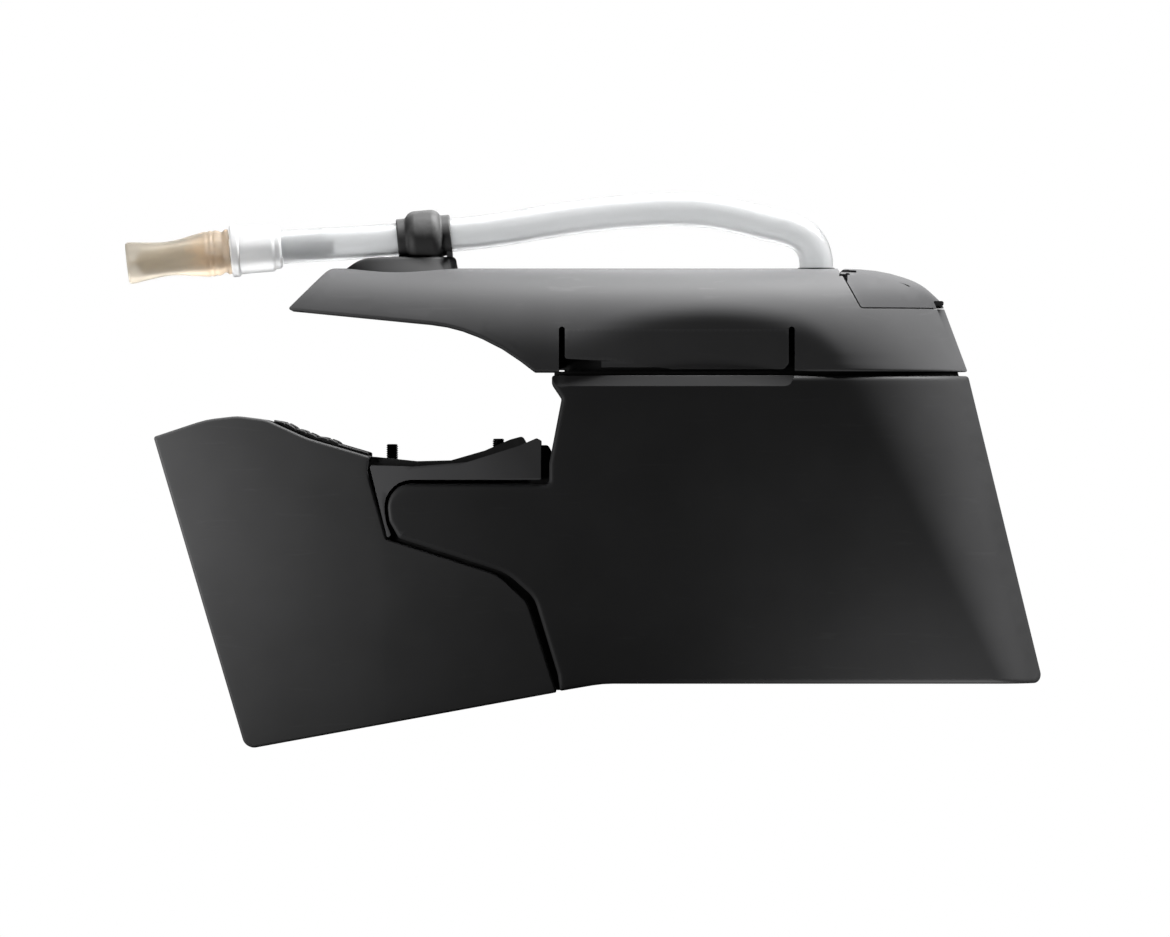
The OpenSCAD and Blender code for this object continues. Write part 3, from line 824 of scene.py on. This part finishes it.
def make_shell(form):
    """The cover's shell with the fill door's seat, hinge lugs and port, but without its windows."""
    shell = copy_of(form, "cover_shell")
    cut(shell, cut(cover_form("cover_hollow", WALL), door_prism(WALL + PLAY)))
    cut(shell, cover_form("seat_hollow", SEAT_FLOOR))
    cut(shell, cut(door_prism(PLAY), cover_form("seat_form", SEAT_DROP)))
    join(shell, block("hinge_block", (130.2, -14.5, 57.4), (137.6, 14.5, 60.4)))
    cut(shell, prism("knuckle_way", circle(*PIN, KNUCKLE_R + PLAY), -15, 15))
    x, z = PIN
    rear, front, top = x - LUG_R, x + LUG_R, z + LUG_R
    lug = outline([[rear, 57.6, 0], [front, 57.6, 0], [front, top, 1.8], [rear, top, 1.8]])
    for side in (-1, 1):
        join(shell, prism("lug", lug, side * LUG_Y - LUG_HALF, side * LUG_Y + LUG_HALF))
    cut(shell, prism("pin_way", circle(*PIN, PIN_R), -PIN_HALF, PIN_HALF))
    cut(shell, block("port", (139, -11, 45), (157, 11, 70)))
    for low, high, foot in SLIT_RIBS:
        rib = keep(cover_form("rib", 1.0), block("rib_span", (low, -30, foot), (high, 30, 70)))
        join(shell, rib)
    cut(shell, prism("straw_way", circle(123, 0, STRAW_HOLE_R), 50, 80, "Z"))
    return shell


def make_door(form):
    x, z = PIN
    panel = copy_of(form, "door_panel")
    cut(panel, cover_form("door_hollow", WALL))
    keep(panel, door_prism(0))
    front = [(x, 80), (x, z), (x - 1.5, 40), (190, 40), (190, 80)]
    keep(panel, prism("door_front", front, -60, 60))
    knuckle = prism("knuckle", circle(*PIN, KNUCKLE_R), -KNUCKLE_HALF, KNUCKLE_HALF)
    join(panel, keep(knuckle, copy_of(form, "form")))
    join(panel, prism("lip", outline(DOOR_LIP), -9, 9))
    cut(panel, prism("pin_way", circle(*PIN, PIN_R + 0.05), -PIN_HALF, PIN_HALF))
    for side in (-1, 1):
        low, high = side * LUG_Y - LUG_HALF - 0.3, side * LUG_Y + LUG_HALF + 0.3
        cut(panel, block("lug_way", (x - 5, low, z - 5), (x + 3, high, z + 2.2)))
    return panel


def make_tab(form, side, name, body):
    tab = copy_of(form, name)
    cut(tab, cover_form("tab_hollow", WALL))
    keep(tab, prism("tab_tool", outline(TAB, spacing=1.5), *side_span(side, 12, 60)))
    low, high = side_span(side, 23.7, 26.1)
    join(tab, block("hook", (TAB_X + 12, low, 31.2), (TAB_END - 12, high, 33.2)))
    finish_piece(tab, "black_cover")
    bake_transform(tab)
    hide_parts(body)


def make_cover():
    form = cover_form("cover_form")
    shell = make_shell(form)
    for side in (-1, 1):
        cut(shell, prism("window", outline(WINDOW), *side_span(side, 12, 60)))
    finish_piece(shell, "black_cover", "cover", ("top_cover",))
    make_tab(form, -1, "latch_tab_right", "latch_right")
    make_tab(form, 1, "latch_tab_left", "latch_left")
    finish_piece(make_door(form), "grey_door", "door", ("fill_door",))
    bpy.data.objects.remove(form)


# ---- Fairing ----

FAIRING_FRONT = [[-24.6, 1.9, 0.9]]
FAIRING_TOP = [
    [37.0, -75.7, 0.5], [-65.3, -94.5, 4], [-95.7, 8.3, 0.9], [-78.5, 14.0, 30],
    [-68.0, 15.2, 15], [-58.5, 14.0, 12], [-45.0, 7.9, 30],
]
# Outlines of dark fills in the seams, painted shade that stands in for the shadow in the grooves.
SEAM_SHADE_FILL = [
    (-18.9, -26.8), (-18.5, -21.0), (-10.0, -21.0), (17.0, -31.0), (26.0, -34.0), (34.0, -44.0),
    (40.0, -68.0), (40.0, -75.0), (35.0, -75.0), (25.5, -45.0), (17.0, -38.6),
]
SADDLE_SHADE_FILL = [
    [28.0, -9.0, 0], [36.0, -9.0, 0], [36.0, 2.0, 0], [34.1, 5.6, 1.0], [31.2, 5.6, 0.5],
    [31.2, -5.6, 0], [28.0, -5.6, 0],
]


def make_fairing():
    shell = skin("fairing_shell", FAIRING_FRONT + SEAM + FAIRING_TOP, fairing_half, 0.9)
    seam = [[x - WALL, z, r] for x, z, r in SEAM[:2]]
    seam += [[x - 1.6, z - 1.6, r] for x, z, r in SEAM[2:]]
    hollow = [[FAIRING_FRONT[0][0] - WALL, 60, 0]] + seam + [
        [34.3, -73.5, 1], [-64.0, -92.0, 3], [-165.3, -110, 0], [-165.3, 60, 0]
    ]
    cut(shell, skin("fairing_hollow", hollow, lambda x, z: fairing_half(x, z) - WALL, 2.0))
    return finish_piece(shell, "grey_black_nylon", "mount", ("fairing",))


def make_seam_shade_fills():
    """Dark fills in the seams between the reservoir and the pieces of the mount: painted shade for the
    shadow in those grooves. Each fill starts wide and is cut with the tank's form, so that it touches
    the tank."""
    shade_fills = (("seam_shade_fill", SEAM_SHADE_FILL, 26.4), ("saddle_shade_fill", outline(SADDLE_SHADE_FILL), 25.5))
    for name, shape, half in shade_fills:
        shade_fill = cut(prism(name, shape, -half, half), tank_form("tank_side"))
        finish_piece(shade_fill, "black_rubber", "mount")


def fairing_rim(x):
    """Height of the fairing's top edge over the stretch that carries the rubber edging."""
    points = [(p.x, p.y) for p in outline(FAIRING_FRONT + SEAM + FAIRING_TOP) if p.y > 0]
    points.sort()
    for p, q in zip(points, points[1:]):
        if p[0] <= x <= q[0]:
            return p[1] + (q[1] - p[1]) * (x - p[0]) / (q[0] - p[0])
    return points[-1][1]


EDGE_START, EDGE_PITCH, EDGE_BLOCKS, EDGE_END = -56.0, 7.1, 3, -24.8


def edge_height(x):
    """How far the rubber edging stands over the fairing: three long beads, then a thin tail."""
    along = (x - EDGE_START) / EDGE_PITCH
    if along > EDGE_BLOCKS:
        return 1.25
    bead = abs(math.sin(math.pi * along)) ** 0.22
    tick = 0.35 * math.exp(-(((along % 1) - 0.5) / 0.05) ** 2)
    return 0.7 + 1.35 * bead * min(1.0, 0.45 + along) - tick


def make_edge_strips():
    count = 260
    bm = bmesh.new()
    for side in (-1, 1):
        rows = []
        for i in range(count):
            x = EDGE_START + (EDGE_END - EDGE_START) * i / (count - 1)
            wall, rim = fairing_half(x, 0) - WALL - 0.05, fairing_rim(x)
            top = rim + edge_height(x)
            section = [(wall, rim - 4), (wall, top - 0.4), (wall - 0.35, top), (wall - 1.3, top),
                       (wall - 1.7, top - 0.4), (wall - 1.7, rim - 4)]
            rows.append([bm.verts.new((x * MM, side * y * MM, z * MM)) for y, z in section])
        for a, b in zip(rows, rows[1:]):
            strip(bm, a, b)
        bm.faces.new(rows[0])
        bm.faces.new(rows[-1])
    finish_piece(to_object("edge_strip_pair", bm), "black_rubber", "mount", ("edge_strips",), 40)


STUDS = ((-17.6, -1.8), (17.6, 0.0))
STUD_R, STUD_L, PITCH, THREAD = 2.0, 11.8, 0.7, 0.36


def make_studs():
    """Both stem studs with a real helical thread, a point and a countersunk head with a hex socket."""
    turns, per_pitch = 30, 8
    pieces = []
    for x, seat in STUDS:
        base = seat - 4
        bm = bmesh.new()
        rows = []
        low, high = base + 3.9, base + STUD_L
        count = round((high - low) / PITCH * per_pitch)
        for i in range(count + 1):
            z = low + (high - low) * i / count
            row = []
            for k in range(turns):
                a = 2 * math.pi * k / turns
                depth = THREAD * abs(((z / PITCH - k / turns) % 1) * 2 - 1)
                point = max(0.0, z - (high - 0.5)) * 0.9
                radius = min(STUD_R - depth, STUD_R - point)
                place = ((x + radius * math.cos(a)) * MM, radius * math.sin(a) * MM, z * MM)
                row.append(bm.verts.new(place))
            rows.append(row)
        for a, b in zip(rows, rows[1:]):
            strip(bm, a, b)
        bm.faces.new(rows[0])
        bm.faces.new(rows[-1])
        thread = to_object("thread", bm)
        head = turned("head", [(0, 0), (3.9, 0), (4.0, 0.15), (1.8, 2.25), (1.8, 4.1), (0, 4.1)],
                      (x, 0, base), 90, closed=False)
        socket = [(x + p[0], p[1]) for p in circle(0, 0, 1.45, 6)]
        cut(head, prism("socket", socket, base - 1, base + 1.4, "Z"))
        pieces += [thread, head]
    studs = join(*pieces)
    studs.name = "threaded_studs"
    return finish_piece(studs, "black_steel", "mount", ("stem_studs",), 40)


# ---- Straw ----

STRAW_ROUTE = [
    [123, 64], [122.8, 67.5], [121.5, 71.5], [118.5, 75], [113, 77.5], [105, 79.4], [97, 81.4],
    [89, 83], [80, 83.7], [72, 83.7], [60, 83], [50, 82], [40, 80.7], [30, 79.1], [20, 77.4],
    [10, 76.1], [0, 75.2], [-10, 74.3], [-20, 73.4], [-30, 72.7], [-40, 72.2], [-50, 71.6],
    [-54, 71.3],
]


def spline(points, pieces=6):
    """Catmull-Rom points through a route."""
    route = [Vector(p) for p in points]
    route = [2 * route[0] - route[1]] + route + [2 * route[-1] - route[-2]]
    path = []
    for a, b, c, d in zip(route, route[1:], route[2:], route[3:]):
        for k in range(pieces):
            t = k / pieces
            path.append(
                0.5 * (2 * b + (c - a) * t + (2 * a - 5 * b + 4 * c - d) * t**2
                       + (3 * b - a - 3 * c + d) * t**3)
            )
    return path + [route[-2]]


def make_straw():
    path = spline(STRAW_ROUTE)
    path[0] = Vector(STRAW_ROUTE[0])
    steps = 40
    bm = bmesh.new()
    loops = []
    for radius in (STRAW_R, STRAW_BORE):
        rows = []
        for i, p in enumerate(path):
            ahead = (path[min(i + 1, len(path) - 1)] - path[max(i - 1, 0)]).normalized()
            row = []
            for k in range(steps):
                a = 2 * math.pi * k / steps
                x = p.x - ahead.y * radius * math.cos(a)
                z = p.y + ahead.x * radius * math.cos(a)
                row.append(bm.verts.new((x * MM, radius * math.sin(a) * MM, z * MM)))
            rows.append(row)
        for a, b in zip(rows, rows[1:]):
            strip(bm, a, b)
        loops.append(rows)
    strip(bm, loops[0][0], loops[1][0])
    strip(bm, loops[0][-1], loops[1][-1])
    straw = to_object("drinking_straw", bm)
    finish_piece(straw, "clear_tube", "cover", ("straw",))
    length = sum((b - a).length for a, b in zip(path, path[1:]))
    return straw, [(p.x * MM, 0, p.y * MM) for p in path], length * MM


# ---- Straw holder, connector and bite valve ----

RING_AT, RING_TILT = (-7, 0, 74.6), 5.1
COLLAR_AT, COLLAR_TILT = (-54, 0, 71.3), 4.6
VALVE_AT, VALVE_TILT = (-71, 0, 69.9), 6.6
RING = [
    [-8.9, 5.75, 0.2], [-8.9, 6.75, 0.5], [-5.8, 6.75, 0.9], [-4.7, 8.9, 3.4], [4.7, 8.9, 3.4],
    [5.8, 6.75, 0.9], [8.9, 6.75, 0.5], [8.9, 5.75, 0.2],
]
BASE_SIDE = [
    [-33, 61.6, 0], [-33, 64.0, 0.5], [-27.5, 67.6, 12], [-18, 68, 6], [3.4, 68, 1.4], [4.6, 61.6, 0],
]
CONNECTOR = [
    [-26, 2.8, 0.2], [-26, 4.15, 0.4], [-17.2, 4.15, 0.2], [-17.2, 8.6, 0.8], [-14.6, 8.6, 0.8],
    [-14.3, 7.85, 0.3], [-3.3, 7.8, 1.2], [-2.4, 7.1, 0.5], [-0.9, 7.0, 0.5], [-0.4, 6.3, 0.4],
    [-0.4, 3.5, 0.2], [5.6, 3.5, 0.1], [6.2, 3.95, 0.1], [9.6, 3.5, 0.2], [11.8, 3.5, 0.1],
    [12.2, 3.95, 0.1], [17, 3.2, 0.2], [17, 2.8, 0.1],
]
VALVE_LINE = [
    (-0.4, 7.35), (-1.3, 7.5), (-2.1, 6.9), (-2.7, 6.75), (-3.6, 7.25), (-4.7, 7.55), (-5.6, 7.3),
    (-6.4, 7.6), (-7.3, 7.35), (-8.2, 7.5), (-9.6, 7.25), (-11.5, 6.95), (-13.6, 6.6), (-16, 6.15),
    (-18.5, 5.8), (-21, 5.65), (-23.5, 5.75), (-26.5, 6.05), (-29.5, 6.4), (-32, 6.75), (-33.6, 6.9),
    (-34.3, 6.75), (-34.7, 6.3),
]


def turned_outline(name, corners, at, tilt):
    return turned(name, [(p.y, p.x) for p in outline(corners, spacing=3.0)], at, tilt)


def make_ring():
    ring = turned_outline("straw_ring", RING, RING_AT, RING_TILT)
    nib = outline([[0.6, 68.0, 0], [2.4, 68.0, 0.3], [2.4, 69.7, 0.5], [0.6, 69.7, 0.3]])
    join(ring, prism("nib", nib, -7.2, -4.6))
    join(ring, prism("nib", nib, 4.6, 7.2))
    cut(ring, block("under", (-30, -20, 50), (20, 20, 68.02)))
    return finish_piece(ring, "black_rubber", "cover", ("holder_ring",), 35, "ring_rubber")


def make_base():
    def half(x, z):
        return (8.6 + 0.42 * (68 - z)) * math.sqrt(max(0.0, 1 - ((x + 14.2) / 18.9) ** 2))

    base = skin("straw_foot", BASE_SIDE, half, 0.9, spacing=1.0)
    return finish_piece(base, "grey_black_nylon", "cover", ("holder_base",), 35)


def make_connector():
    piece = turned_outline("straw_connector", CONNECTOR, COLLAR_AT, COLLAR_TILT)
    return finish_piece(piece, "white_connector", "cover", ("valve_connector",), 35)


def make_valve():
    """The bite valve: ridged bulb, waist and a flared oval mouth with a slit."""
    outer = [(p.y, p.x) for p in spline(VALVE_LINE, 3)]
    inner = [(0, -34.3), (0, -32.6), (3.8, -30), (3.8, -13), (4.1, -11), (4.1, -0.4)]

    def squeeze(s):
        return 1 - 0.16 * max(0.0, min(1.0, (-s - 17) / 12))

    valve = turned("bite_mouthpiece", outer + inner, VALVE_AT, VALVE_TILT, squeeze=squeeze)
    slit = block("slit", (-37, -3.4, -0.22), (-31.5, 3.4, 0.22))
    slit.data.transform(Matrix.Translation(Vector(VALVE_AT) * MM)
                        @ Matrix.Rotation(math.radians(-VALVE_TILT), 4, "Y"))
    cut(valve, slit)
    return finish_piece(valve, "tan_silicone", "cover", ("bite_valve",), 50)


# ---- Put together ----

add_camera()
FINISHES = make_finishes()
add_studio()

straw, straw_path, straw_length = make_straw()
make_connector()
make_valve()
make_reservoir()
make_cover()
make_fairing()
# Dark seam fills: painted shade in the grooves between the reservoir and the mount.
make_seam_shade_fills()
make_edge_strips()
make_studs()
make_ring()
make_base()
from_cad("bracket", "stem_bracket", "black_nylon", "mount", 0.8)
from_cad("bed_pad", "bracket_bed", "black_rubber", "mount", 0.4)
for node, finish in {
    "neck_gasket": "black_rubber", "port_gasket": "black_rubber", "straw_grommet": "black_rubber",
    "dip_tube": "clear_tube", "door_pin": "pin_steel", "holder_screw": "pin_steel",
    "fairing_screws": "black_steel", "rail_inserts": "brass",
}.items():
    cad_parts[node].data.materials.clear()
    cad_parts[node].data.materials.append(FINISHES[finish])
